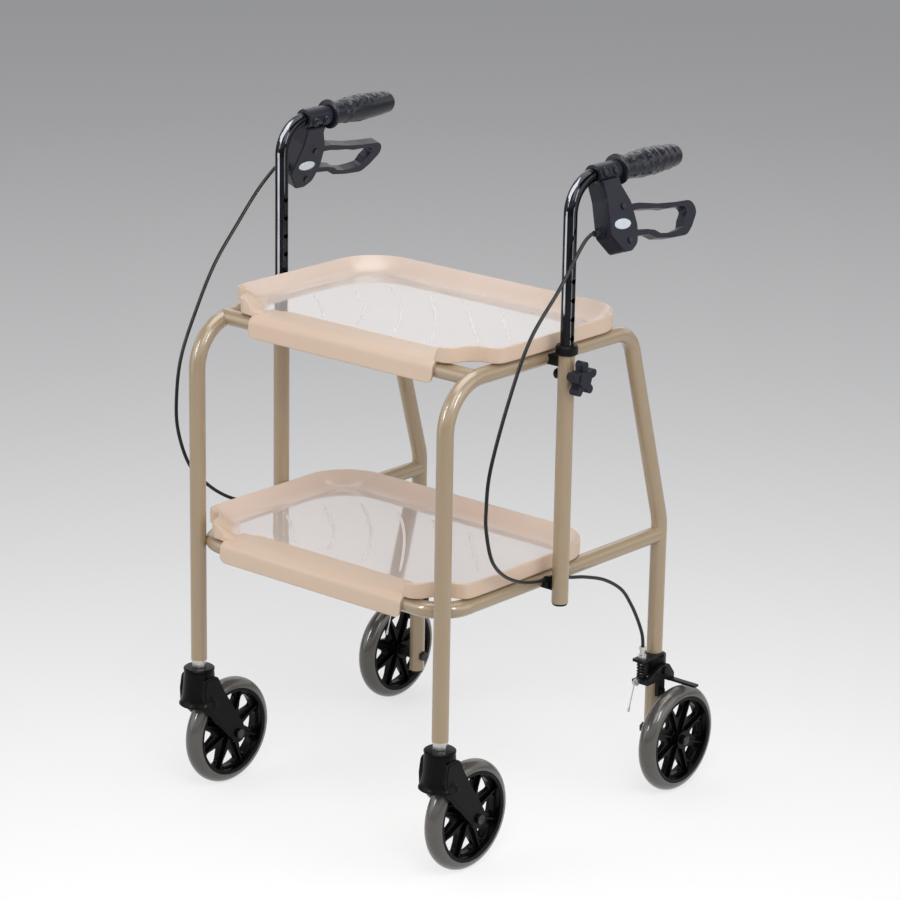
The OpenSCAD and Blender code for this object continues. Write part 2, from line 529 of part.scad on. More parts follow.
// outline of half a tray: [outer edge, foot of the rim, share of the rim's height]
tray_half = let (o = spline(wave_o, 2), f = spline(wave_i, 2)) concat(
  [for (x = [0, 50, 100, 146]) [wx([x, 4]), wx([x * 0.93, 38]), 0]],
  [for (i = [0 : len(o) - 1]) [wx(o[i]), wx(f[i]), min(1, 0.2 + 0.35 * i)]],
  [for (y = [150, 200]) [[tw, y], [tw - 34, y], 1]],
  [for (a = [0 : 10 : 90]) let (c = [tw - 68, tl - 68]) [c + 68 * [cos(a), sin(a)], c + 34 * [cos(a), sin(a)], 1]],
  [for (x = [110, 55, 0]) [[x, tl], [x * 0.93, tl - 34], 1]]);
tray_ring = concat(tray_half, [for (i = [len(tray_half) - 2 : -1 : 1]) let (e = tray_half[i]) [[-e[0][0], e[0][1]], [-e[1][0], e[1][1]], e[2]]]);
function rim_at(y) = front_rim_h + (rim_h - front_rim_h) * sstep((y - 140) / 120) - tz_f;
// cross-section from the skirt over the rim to the floor and back underneath: [inward, base z, share of the rim, added z]
tray_sec = [[2.4, tz_b, 0, 1.9], [0.2, tz_b + 0.6, 0, 1.9], [0, tz_f, 1, -1.2], [1.2, tz_f, 1, 0], [2.6, tz_f, 1, -0.9], [9, tz_f, 0.62, 0],
  [18, tz_f, 0.18, 0], [26, tz_f, 0.03, 0], [34, tz_f, 0, 0], [34, tz_b, 0, 0], [20, tz_b, 0.12, 0], [10, tz_b, 0.48, 0], [3.4, tz_b, 0.8, 0]];
module tray() {
  n = len(tray_ring);
  m = len(tray_sec);
  pts = [for (s = tray_sec, e = tray_ring) let (q = e[0] + (e[1] - e[0]) * s[0] / 34) [q[0], q[1], s[1] + e[2] * (s[2] * rim_at(e[0][1]) + s[3])]];
  strips = [for (j = [0 : m - 1]) if (j != 8) j];
  polyhedron(concat(pts, [[0, 150, tz_f], [0, 150, tz_b]]), concat(
    [for (i = [0 : n - 1]) [8 * n + (i + 1) % n, 8 * n + i, m * n]],
    [for (i = [0 : n - 1]) [9 * n + i, 9 * n + (i + 1) % n, m * n + 1]],
    [for (j = strips, i = [0 : n - 1]) [j * n + i, ((j + 1) % m) * n + i, ((j + 1) % m) * n + (i + 1) % n]],
    [for (j = strips, i = [0 : n - 1]) [j * n + i, ((j + 1) % m) * n + (i + 1) % n, j * n + (i + 1) % n]]), convexity = 10);
  plate_yz(-lip_w / 2, lip_w / 2, concat([[28, tz_f], [19, tz_f + 2.2], [15, tz_f + 3], [3, tz_f + 2], [-6, tz_f + 0.2], [-11.4, 10.6], [-14.4, 5], [-15, -3], [-15.6, -16], [-12.6, -16]],
    [for (a = [180 : -10 : 90]) (tube_r + 0.6) * [cos(a), sin(a)]], [[28, tz_b]]));
  pair() translate([side_x - 1.5, 84, tz_b]) cube([3, tl - 150, 6.5]);
}
module upper_tray() color(cream) translate([0, top_bar_y, rail_z]) tray();
module lower_tray() color(cream) translate([low_tray_x, low_bar_y, low_z]) tray();

left_side_frame();
right_side_frame();
top_crossbar();
lower_frame();
left_socket();
right_socket();
socket_saddles();
socket_bolts();
collars();
socket_plugs();
clamp_heads();
leg_plugs();
castor_stems();
rear_axles();
left_brake_bracket();
right_brake_bracket();
cable_adjusters();
cable_clips();
left_cable_upper();
right_cable_upper();
left_cable_lower();
right_cable_lower();
left_fork();
right_fork();
left_fork_cap();
right_fork_cap();
left_castor_axle();
right_castor_axle();
left_front_rim();
right_front_rim();
left_front_tyre();
right_front_tyre();
left_rear_rim();
right_rear_rim();
left_rear_tyre();
right_rear_tyre();
left_brake_arm();
right_brake_arm();
left_cable_anchor();
right_cable_anchor();
left_brake_spring();
right_brake_spring();
left_handle_tube();
right_handle_tube();
left_grip();
right_grip();
left_housing();
right_housing();
left_housing_cover();
right_housing_cover();
left_housing_screws();
right_housing_screws();
left_rocker();
right_rocker();
left_lever();
right_lever();
left_knob();
right_knob();
upper_tray();
lower_tray();
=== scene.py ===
import bpy
import bmesh
import json
import math
from mathutils import Vector, Matrix


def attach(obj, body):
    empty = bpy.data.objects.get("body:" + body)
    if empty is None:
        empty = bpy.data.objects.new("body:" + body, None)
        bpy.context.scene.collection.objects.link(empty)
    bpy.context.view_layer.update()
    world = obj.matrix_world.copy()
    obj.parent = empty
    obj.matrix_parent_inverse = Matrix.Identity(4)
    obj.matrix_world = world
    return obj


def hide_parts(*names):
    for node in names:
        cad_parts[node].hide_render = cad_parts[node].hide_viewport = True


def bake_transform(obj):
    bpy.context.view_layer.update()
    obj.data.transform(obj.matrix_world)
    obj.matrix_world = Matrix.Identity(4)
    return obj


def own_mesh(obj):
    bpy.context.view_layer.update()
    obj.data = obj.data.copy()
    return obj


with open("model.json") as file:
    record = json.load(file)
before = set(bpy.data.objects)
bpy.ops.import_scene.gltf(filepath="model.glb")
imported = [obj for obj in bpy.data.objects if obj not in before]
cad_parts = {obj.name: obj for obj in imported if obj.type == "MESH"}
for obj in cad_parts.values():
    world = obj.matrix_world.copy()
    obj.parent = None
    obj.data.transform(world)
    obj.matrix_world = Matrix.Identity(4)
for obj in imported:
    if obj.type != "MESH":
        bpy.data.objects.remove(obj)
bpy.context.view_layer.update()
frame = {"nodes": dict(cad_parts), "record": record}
NODES = frame["nodes"]
SLOT = {s["node"]: s["material_slot"] for s in frame["record"]["subparts"]}
scene = bpy.context.scene
MM = 0.001
RAD = math.radians


# ------------------------------------------------------------------ materials
def new_mat(name):
    m = bpy.data.materials.new(name)
    m.use_nodes = True
    nt = m.node_tree
    nt.nodes.clear()
    out = nt.nodes.new("ShaderNodeOutputMaterial")
    b = nt.nodes.new("ShaderNodeBsdfPrincipled")
    nt.links.new(b.outputs[0], out.inputs[0])
    return m, nt, b


def coords(nt, scale=(1, 1, 1), rot=(0, 0, 0)):
    tc = nt.nodes.new("ShaderNodeTexCoord")
    mp = nt.nodes.new("ShaderNodeMapping")
    mp.inputs["Scale"].default_value = scale
    mp.inputs["Rotation"].default_value = rot
    nt.links.new(tc.outputs["Object"], mp.inputs[0])
    return mp.outputs[0]


def noise(nt, vec, scale, detail=3.0, rough=0.55, dist=0.0):
    n = nt.nodes.new("ShaderNodeTexNoise")
    n.inputs["Scale"].default_value = scale
    n.inputs["Detail"].default_value = detail
    n.inputs["Roughness"].default_value = rough
    n.inputs["Distortion"].default_value = dist
    nt.links.new(vec, n.inputs["Vector"])
    return n.outputs["Fac"]


def ramp(nt, fac, stops):
    r = nt.nodes.new("ShaderNodeValToRGB")
    e = r.color_ramp.elements
    while len(e) < len(stops):
        e.new(0.5)
    for el, (p, c) in zip(e, stops):
        el.position = p
        el.color = tuple(c) + (1.0,) if len(c) == 3 else tuple(c)
    nt.links.new(fac, r.inputs[0])
    return r.outputs[0]


def span(nt, fac, lo, hi, a=0.3, b=0.7):
    r = nt.nodes.new("ShaderNodeMapRange")
    r.inputs["From Min"].default_value = a
    r.inputs["From Max"].default_value = b
    r.inputs["To Min"].default_value = lo
    r.inputs["To Max"].default_value = hi
    nt.links.new(fac, r.inputs["Value"])
    return r.outputs[0]


def math_node(nt, op, a, b):
    n = nt.nodes.new("ShaderNodeMath")
    n.operation = op
    for i, v in enumerate((a, b)):
        if isinstance(v, (int, float)):
            n.inputs[i].default_value = v
        else:
            nt.links.new(v, n.inputs[i])
    return n.outputs[0]


def bump(nt, height, strength, distance, normal=None):
    n = nt.nodes.new("ShaderNodeBump")
    n.inputs["Strength"].default_value = strength
    n.inputs["Distance"].default_value = distance
    nt.links.new(height, n.inputs["Height"])
    if normal is not None:
        nt.links.new(normal, n.inputs["Normal"])
    return n.outputs[0]


def lin(r, g, b):
    f = lambda c: (c / 255 / 12.92) if c <= 10 else ((c / 255 + 0.055) / 1.055) ** 2.4
    return (f(r), f(g), f(b))


def paint_mat():
    m, nt, b = new_mat("frame_paint")
    v = coords(nt)
    big = noise(nt, v, 5.0, 2.0)
    fine = noise(nt, v, 1100.0, 2.0)
    mixed = math_node(nt, "ADD", math_node(nt, "MULTIPLY", big, 0.5), math_node(nt, "MULTIPLY", fine, 0.5))
    nt.links.new(ramp(nt, mixed, [(0.30, lin(173, 150, 118)), (0.5, lin(176, 153, 121)), (0.70, lin(180, 157, 125))]), b.inputs["Base Color"])
    nt.links.new(span(nt, noise(nt, v, 60.0, 3.0), 0.30, 0.38), b.inputs["Roughness"])
    b.inputs["Specular IOR Level"].default_value = 0.6
    b.inputs["Coat Weight"].default_value = 0.8
    b.inputs["Coat Roughness"].default_value = 0.06
    peel = noise(nt, v, 420.0, 2.0)
    nt.links.new(bump(nt, peel, 0.08, 0.0003), b.inputs["Normal"])
    return m


def tray_mat(kind="plastic"):
    m, nt, b = new_mat("tray_" + kind)
    satin = kind in ("satin", "bead_highlight")
    v = coords(nt)
    big = noise(nt, v, 5.0, 2.0)
    speck = noise(nt, v, 1200.0, 1.0)
    mixed = math_node(nt, "ADD", math_node(nt, "MULTIPLY", big, 0.7), math_node(nt, "MULTIPLY", speck, 0.3))
    if satin:
        # painted shade: the lip and skirt are a darker, more saturated copy of the same plastic
        tones = [(0.3, lin(232, 206, 183)), (0.5, lin(235, 209, 186)), (0.7, lin(238, 213, 190))]
        # painted highlight: the beads are a near-white copy of the same plastic, for the light they catch
        if kind == "bead_highlight":
            tones = [(0.3, lin(245, 241, 239)), (0.5, lin(247, 244, 242)), (0.7, lin(249, 246, 245))]
        nt.links.new(span(nt, noise(nt, v, 45.0, 4.0), 0.34, 0.42), b.inputs["Roughness"])
        b.inputs["Specular IOR Level"].default_value = 0.5 if kind == "bead_highlight" else 0.28
    else:
        if kind == "floor":
            # painted shade: the floor is a greyer, darker copy of the same plastic
            tones = [(0.3, lin(219, 209, 204)), (0.5, lin(222, 212, 207)), (0.7, lin(225, 216, 211))]
        else:
            # painted light: the inner walls are the lightest copy of the same plastic, for their brightly lit look
            tones = [(0.3, lin(239, 217, 201)), (0.5, lin(242, 221, 206)), (0.7, lin(245, 225, 211))]
        flat = kind == "floor"
        nt.links.new(span(nt, noise(nt, v, 45.0, 4.0), 0.06 if flat else 0.20, 0.11 if flat else 0.28), b.inputs["Roughness"])
        b.inputs["Specular IOR Level"].default_value = 0.5 if flat else 0.35
        b.inputs["Coat Weight"].default_value = 1.0 if flat else 0.25
        b.inputs["Coat Roughness"].default_value = 0.035
        b.inputs["Coat IOR"].default_value = 1.7 if kind == "floor" else 1.5
    nt.links.new(ramp(nt, mixed, tones), b.inputs["Base Color"])
    wave = noise(nt, v, 24.0, 1.0)
    grain = noise(nt, v, 1100.0, 2.0)
    n1 = bump(nt, wave, 0.04, 0.0010)
    nt.links.new(bump(nt, grain, 0.06 if satin else 0.015, 0.0002, n1), b.inputs["Normal"])
    return m


def chrome_mat():
    m, nt, b = new_mat("chrome")
    v = coords(nt)
    s = coords(nt, (420, 420, 14))
    cl = noise(nt, v, 22.0, 3.0)
    # painted reflection: the nearly black base stands in for the dark surroundings the chrome mirrors, not the metal's
    # own colour
    nt.links.new(ramp(nt, cl, [(0.3, (0.020, 0.0205, 0.023)), (0.7, (0.028, 0.0285, 0.032))]), b.inputs["Base Color"])
    b.inputs["Metallic"].default_value = 1.0
    nt.links.new(span(nt, noise(nt, s, 1.0, 3.0), 0.03, 0.09), b.inputs["Roughness"])
    nt.links.new(bump(nt, noise(nt, s, 2.0, 2.0), 0.010, 0.0002), b.inputs["Normal"])
    return m


def plastic_mat(name, lo, hi, r0, r1, grain=1500.0, gs=0.16, level=0.3):
    m, nt, b = new_mat(name)
    b.inputs["Specular IOR Level"].default_value = level
    v = coords(nt)
    patch = noise(nt, v, 30.0, 4.0)
    nt.links.new(ramp(nt, patch, [(0.3, lo), (0.7, hi)]), b.inputs["Base Color"])
    rough = math_node(nt, "ADD", span(nt, patch, r0, r1), span(nt, noise(nt, v, 260.0, 3.0), -0.03, 0.03))
    nt.links.new(rough, b.inputs["Roughness"])
    g = noise(nt, v, grain, 2.0)
    nt.links.new(bump(nt, g, gs, 0.00035), b.inputs["Normal"])
    return m


def rubber_mat():
    m, nt, b = new_mat("grip_rubber")
    v = coords(nt)
    patch = noise(nt, v, 45.0, 4.0)
    nt.links.new(ramp(nt, patch, [(0.3, (0.010, 0.0108, 0.017)), (0.7, (0.018, 0.0193, 0.029))]), b.inputs["Base Color"])
    b.inputs["Specular IOR Level"].default_value = 0.36
    nt.links.new(span(nt, noise(nt, v, 120.0, 3.0), 0.20, 0.30), b.inputs["Roughness"])
    vor = nt.nodes.new("ShaderNodeTexVoronoi")
    vor.inputs["Scale"].default_value = 900.0
    nt.links.new(v, vor.inputs["Vector"])
    nt.links.new(bump(nt, vor.outputs["Distance"], 0.05, 0.0004), b.inputs["Normal"])
    return m


def tyre_mat():
    m, nt, b = new_mat("tyre")
    v = coords(nt)
    patch = noise(nt, v, 24.0, 5.0)
    speck = noise(nt, v, 1000.0, 2.0)
    mixed = math_node(nt, "ADD", math_node(nt, "MULTIPLY", patch, 0.7), math_node(nt, "MULTIPLY", speck, 0.3))
    nt.links.new(ramp(nt, mixed, [(0.3, lin(80, 76, 71)), (0.5, lin(85, 81, 76)), (0.72, lin(91, 87, 82))]), b.inputs["Base Color"])
    nt.links.new(span(nt, patch, 0.20, 0.30), b.inputs["Roughness"])
    b.inputs["Coat Weight"].default_value = 0.5
    b.inputs["Coat Roughness"].default_value = 0.12
    nt.links.new(bump(nt, speck, 0.05, 0.0003), b.inputs["Normal"])
    return m


def steel_mat(name="steel", lo=(0.42, 0.42, 0.42), hi=(0.62, 0.61, 0.59), r0=0.22, r1=0.40):
    m, nt, b = new_mat(name)
    v = coords(nt)
    s = coords(nt, (900, 900, 60))
    nt.links.new(ramp(nt, noise(nt, v, 140.0, 4.0), [(0.3, lo), (0.7, hi)]), b.inputs["Base Color"])
    b.inputs["Metallic"].default_value = 0.95
    nt.links.new(span(nt, noise(nt, v, 220.0, 3.0), r0, r1), b.inputs["Roughness"])
    nt.links.new(bump(nt, noise(nt, s, 1.0, 2.0), 0.05, 0.0002), b.inputs["Normal"])
    return m


def blank_mat():
    m, nt, b = new_mat("blank_inlay")
    v = coords(nt)
    nt.links.new(ramp(nt, noise(nt, v, 160.0, 3.0), [(0.3, lin(206, 216, 226)), (0.7, lin(222, 230, 238))]), b.inputs["Base Color"])
    nt.links.new(span(nt, noise(nt, v, 500.0, 2.0), 0.22, 0.34), b.inputs["Roughness"])
    nt.links.new(bump(nt, noise(nt, v, 700.0, 2.0), 0.05, 0.0002), b.inputs["Normal"])
    return m


MATS = {
    "frame_paint": paint_mat(),
    "tray_plastic": tray_mat(),
    "chrome": chrome_mat(),
    "black_plastic": plastic_mat("black_plastic", (0.0040, 0.0040, 0.0045), (0.0070, 0.0070, 0.0080), 0.28, 0.38, 1500.0, 0.10, 0.14),
    "black_steel": plastic_mat("black_steel", (0.0045, 0.0045, 0.0045), (0.009, 0.0085, 0.008), 0.26, 0.38, 700.0, 0.10, 0.18),
    "steel": steel_mat(),
    "screw_black": steel_mat("screw_black", (0.03, 0.03, 0.032), (0.07, 0.07, 0.072), 0.25, 0.38),
    "cable_sheath": plastic_mat("cable_sheath", (0.006, 0.006, 0.007), (0.013, 0.013, 0.014), 0.26, 0.36, 600.0, 0.06),
    "grip_rubber": rubber_mat(),
    "tyre": tyre_mat(),
}
# copies of one tray plastic: the darker satin and the greyer floor are painted shade, the near-white bead is a painted
# highlight
SATIN_SHADED, GLASSY_SHADED, BEAD_HIGHLIGHT = tray_mat("satin"), tray_mat("floor"), tray_mat("bead_highlight")
BLANK = blank_mat()
BRAKE = plastic_mat("brake_plastic", (0.0135, 0.0145, 0.0235), (0.0205, 0.0220, 0.035), 0.27, 0.37, 1700.0, 0.08, 0.22)
WHEEL = plastic_mat("wheel_plastic", (0.0016, 0.0016, 0.0018), (0.0030, 0.0030, 0.0034), 0.22, 0.32, 1500.0, 0.06, 0.10)


def dress(obj, mat):
    obj.data.materials.clear()
    obj.data.materials.append(mat)


for name, obj in NODES.items():
    dress(obj, MATS[SLOT[name]])
    if name.endswith(("_housing", "_housing_cover", "_lever", "_knob")):
        dress(obj, BRAKE)
    elif name.endswith(("_rim", "_fork", "_fork_cap")):
        dress(obj, WHEEL)


# ------------------------------------------------------------------ mesh helpers
def add_object(name, mesh, mat, body=None):
    o = bpy.data.objects.new(name, mesh)
    scene.collection.objects.link(o)
    dress(o, mat)
    if body:
        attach(o, body)
    return o


def finish_mesh(bm, name, angle=38.0):
    bmesh.ops.remove_doubles(bm, verts=bm.verts, dist=1e-7)
    bmesh.ops.recalc_face_normals(bm, faces=bm.faces)
    me = bpy.data.meshes.new(name)
    bm.to_mesh(me)
    bm.free()
    me.shade_smooth()
    me.set_sharp_from_angle(angle=RAD(angle))
    return me


def ring_strip(bm, rings, close_first=False, close_last=False, loop=False):
    """Quads between closed rings of equal length."""
    n = len(rings[0])
    vs = [[bm.verts.new(p) for p in r] for r in rings]
    last = len(vs) if loop else len(vs) - 1
    for j in range(last):
        a, b = vs[j], vs[(j + 1) % len(vs)]
        for i in range(n):
            k = (i + 1) % n
            bm.faces.new((a[i], a[k], b[k], b[i]))
    if close_first:
        bm.faces.new(list(reversed(vs[0])))
    if close_last:
        bm.faces.new(vs[-1])
    return vs


def catmull(pts, n):
    pts = [Vector(p) for p in pts]
    out = []
    for i in range(len(pts) - 1):
        a, b = pts[max(i - 1, 0)], pts[i]
        c, d = pts[i + 1], pts[min(i + 2, len(pts) - 1)]
        for k in range(n):
            t = k / n
            out.append(0.5 * (2 * b + (c - a) * t + (2 * a - 5 * b + 4 * c - d) * t * t + (3 * b - a - 3 * c + d) * t ** 3))
    out.append(pts[-1])
    return out


def tube(bm, path, radius, sides=20, ref=Vector((1, 0, 0))):
    rings = []
    for i, p in enumerate(path):
        t = (path[min(i + 1, len(path) - 1)] - path[max(i - 1, 0)]).normalized()
        u = t.cross(ref).normalized()
        w = t.cross(u)
        r = radius(i / (len(path) - 1)) if callable(radius) else radius
        rings.append([p + r * (math.cos(2 * math.pi * k / sides) * u + math.sin(2 * math.pi * k / sides) * w) for k in range(sides)])
    ring_strip(bm, rings, True, True)


def mirrored(p):
    return Vector((-p[0], p[1], p[2]))


# ------------------------------------------------------------------ trays
def sstep(t):
    t = max(0.0, min(1.0, t))
    return t * t * (3 - 2 * t)


TW, TL, ZB, ZF = 232.0, 308.0, 11.4, 14.2
WAVE_O = [(158, -8), (164, -10.6), (174, -11), (185, -3.5), (192, 14), (204, 26), (218, 29.5), (229.4, 38), (231.8, 62), (232, 100)]
WAVE_I = [(146, 30), (150, 28), (156, 28), (163, 32), (171, 40), (180, 48), (188, 57), (194, 68), (197.4, 84), (198, 106)]


def rim_height(y):
    return 34.0 + 0.5 * sstep((y - 140) / 120) - ZF


def tray_outline():
    half = []
    for k in range(9):
        x = 146 * k / 8
        half.append((Vector((x, 4)), Vector((x * 0.93, 38)), 0.0))
    steps = 7
    for k, (o, i) in enumerate(zip(catmull(WAVE_O, steps), catmull(WAVE_I, steps))):
        half.append((o, i, min(1.0, 0.2 + 0.8 * sstep(k / steps / 1.6))))
    for k in range(1, 12):
        f = k / 12
        half.append((Vector((TW, 100 + 140 * f)), Vector((TW - 34, 106 + 134 * f)), 1.0))
    for k in range(25):
        a = RAD(90 * k / 24)
        c = Vector((TW - 68, TL - 68))
        e = Vector((math.cos(a), math.sin(a)))
        half.append((c + 68 * e, c + 34 * e, 1.0))
    for k in range(1, 13):
        f = 1 - k / 12
        half.append((Vector(((TW - 68) * f, TL)), Vector(((TW - 68) * f, TL - 34)), 1.0))
    return half + [(Vector((-o.x, o.y)), Vector((-i.x, i.y)), h) for o, i, h in reversed(half[1:-1])]


SECTION = [  # inward, base height, share of the rim's height, added height
    (2.3, ZB, 0, 1.9), (1.5, ZB, 0, 1.75), (0.75, ZB + 0.25, 0, 1.75), (0.3, ZB + 0.7, 0, 1.9), (0.15, ZB + 1.4, 0, 2.6),
    (0.05, ZF, 0.35, 0), (0.0, ZF, 0.75, 0), (0.0, ZF, 1, -1.9), (0.1, ZF, 1, -1.25), (0.4, ZF, 1, -0.6), (0.85, ZF, 1, -0.18),
    (1.4, ZF, 1, 0), (2.0, ZF, 1, -0.1), (2.6, ZF, 1, -0.5), (3.2, ZF, 1, -1.25), (4.2, ZF, 1, -2.7), (6.2, ZF, 0.76, 0), (9, ZF, 0.58, 0),
    (12, ZF, 0.43, 0), (15.4, ZF, 0.285, 0), (18.5, ZF, 0.175, 0), (21.5, ZF, 0.095, 0), (24.5, ZF, 0.045, 0), (28, ZF, 0.014, 0), (31, ZF, 0.003, 0), (34, ZF, 0, 0)]
UNDER = [(34, ZB, 0, 0), (27, ZB, 0.03, 0), (20, ZB, 0.12, 0), (15, ZB, 0.27, 0), (10, ZB, 0.46, 0), (6.4, ZB, 0.66, 0), (4.4, ZB, 0.78, 0),
         (3.7, ZB, 0.8, 0), (3.2, ZB, 0.74, 0), (2.9, ZB, 0.4, 0.9), (2.6, ZB, 0.08, 1.9)]
GLOSS = 11  # first row of the section that is glossy, on top of the rolled edge
RIBS = [
    [(-176, 130), (-143, 104), (-109, 74), (-82, 46)],
    [(-164, 195), (-126, 162), (-85, 129), (-52, 90), (-26, 50)],
    [(-134, 236), (-89, 199), (-44, 158), (-2, 108), (38, 48)],
    [(-72, 243), (-34, 210), (12, 162), (58, 107), (99, 54)],
    [(-14, 250), (34, 204), (80, 158), (125, 114), (151, 86)],
    [(57, 243), (91, 208), (135, 163), (170, 126)],
]


def lip_profile():
    top = [(33, ZF - 0.03), (29, ZF + 0.05), (24, ZF + 0.3), (19, ZF + 0.65), (14, ZF + 0.95), (8, ZF + 1.1), (3, ZF + 0.95), (-2, ZF + 0.45), (-6, ZF - 0.5), (-9.2, 12.0), (-11.4, 10.2),
           (-13.3, 8), (-14.4, 5), (-14.85, 1), (-15, -3), (-15.3, -9.5), (-15.55, -14.4)]
    pts = [(q.x, q.y) for q in catmull(top, 3)]
    pts += [(-15.4, -15.4), (-14.9, -15.9), (-14.1, -16), (-13.3, -15.8), (-12.85, -15.1), (-12.6, -12), (-12.3, -6)]
    pts += [(11.65 * math.cos(RAD(a)), 11.65 * math.sin(RAD(a))) for a in range(180, 89, -9)]
    pts += [(8, ZB + 0.15), (16, ZB), (33, ZB)]
    return pts


def tray_mesh(name, x0, y0, z0):
    bm = bmesh.new()
    outline = tray_outline()

    def place(x, y, z):
        return Vector(((x + x0) * MM, (y + y0) * MM, (z + z0) * MM))

    rings = []
    for s, base, share, more in SECTION + UNDER:
        ring = []
        for o, i, h in outline:
            q = o + (i - o) * (s / 34)
            ring.append(place(q.x, q.y, base + h * (share * rim_height(o.y) + more)))
        rings.append(ring)
    top, under = rings[:len(SECTION)], rings[len(SECTION):]
    n = len(outline)
    vs = [[bm.verts.new(p) for p in r] for r in top + under]
    m = len(vs)
    for j in range(m):
        if j == len(SECTION) - 1:
            continue
        a, b = vs[j], vs[(j + 1) % m]
        for i in range(n):
            k = (i + 1) % n
            f = bm.faces.new((a[i], a[k], b[k], b[i]))
            # only the floor, the inner walls and the top of the rolled edge are glossy; the dull faces get the darker
            # satin copy and the floor faces the greyer floor copy, both painted shade
            dull = not GLOSS <= j < len(SECTION) or outline[i][2] < 0.95 or (outline[i][0].y < 46 and j < len(SECTION) - 5)
            f.material_index = 1 if dull else 2 if j > len(SECTION) - 3 else 0
    for ring, z, index in ((vs[len(SECTION) - 1], ZF, 2), (vs[len(SECTION)], ZB, 1)):
        c = bm.verts.new(place(0, 150, z))
        for i in range(n):
            f = bm.faces.new((ring[i], ring[(i + 1) % n], c))
            f.material_index = index
    # front lip over the bar, with rounded lower corners
    prof = lip_profile()
    stations = [-1, -0.9975, -0.994, -0.99, -0.985] + [-0.98 + 1.96 * k / 40 for k in range(41)] + [0.985, 0.99, 0.994, 0.9975, 1]
    rings = []
    for f in stations:
        ring = []
        for y, z in prof:
            w = 160.0
            edge = z + 16.0
            if y < 0 and edge < 10:
                w -= 10 - math.sqrt(max(0.0, 100 - (10 - edge) ** 2))
            # rounded over at both ends, so the end reads as a moulded edge
            if abs(f) > 0.985 and z > 4 and y < 27:
                q = (abs(f) - 0.985) / 0.015
                z = z - 0.9 * q * q
            ring.append(place(w * f, y, z))
        rings.append(ring)
    before = set(bm.faces)
    ring_strip(bm, rings, True, True)
    for f in set(bm.faces) - before:
        f.material_index = 1
    before = set(bm.faces)
    # low wavy beads on the floor
    for pts in RIBS:
        path = catmull([Vector((x, y, 0)) for x, y in pts], 10)
        rings = []
        for i, p in enumerate(path):
            t = (path[min(i + 1, len(path) - 1)] - path[max(i - 1, 0)]).normalized()
            side = Vector((-t.y, t.x, 0))
            f = i / (len(path) - 1)
            grow = math.sin(math.pi * min(1, max(0.02, min(f, 1 - f) * 7)) / 2)
            ring = []
            for k in range(9):
                a = math.pi * k / 8
                q = p + side * (2.1 * grow * math.cos(a))
                ring.append(place(q.x, q.y, ZF - 0.25 + 1.35 * grow * math.sin(a)))
            rings.append(ring)
        ring_strip(bm, rings, True, True)
    for f in set(bm.faces) - before:
        f.material_index = 3
    # ribs that sit on the side rails
    for s in (-1, 1):
        for y in (84, 158):
            xa, xb = 215.5 * s, 218.5 * s
            ring = lambda z: [place(x, yy, z) for x, yy in ((xa, y), (xb, y), (xb, y + 74), (xa, y + 74))]
            ring_strip(bm, [ring(ZB), ring(ZB + 3), ring(ZB + 6.5)], True, True)
    return finish_mesh(bm, name, 40)


for side, x0, y0, z0 in (("upper", 0.0, -200.0, 666.0), ("lower", -5.0, -250.0, 364.0)):
    me = tray_mesh(side + "_tray_shell", x0, y0, z0)
    slots = [f.material_index for f in me.polygons]
    o = add_object(side + "_tray_shell", me, MATS["tray_plastic"], side + "_tray_unit")
    for extra in (SATIN_SHADED, GLASSY_SHADED, BEAD_HIGHLIGHT):
        me.materials.append(extra)
    me.polygons.foreach_set("material_index", slots)
    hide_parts(side + "_tray")


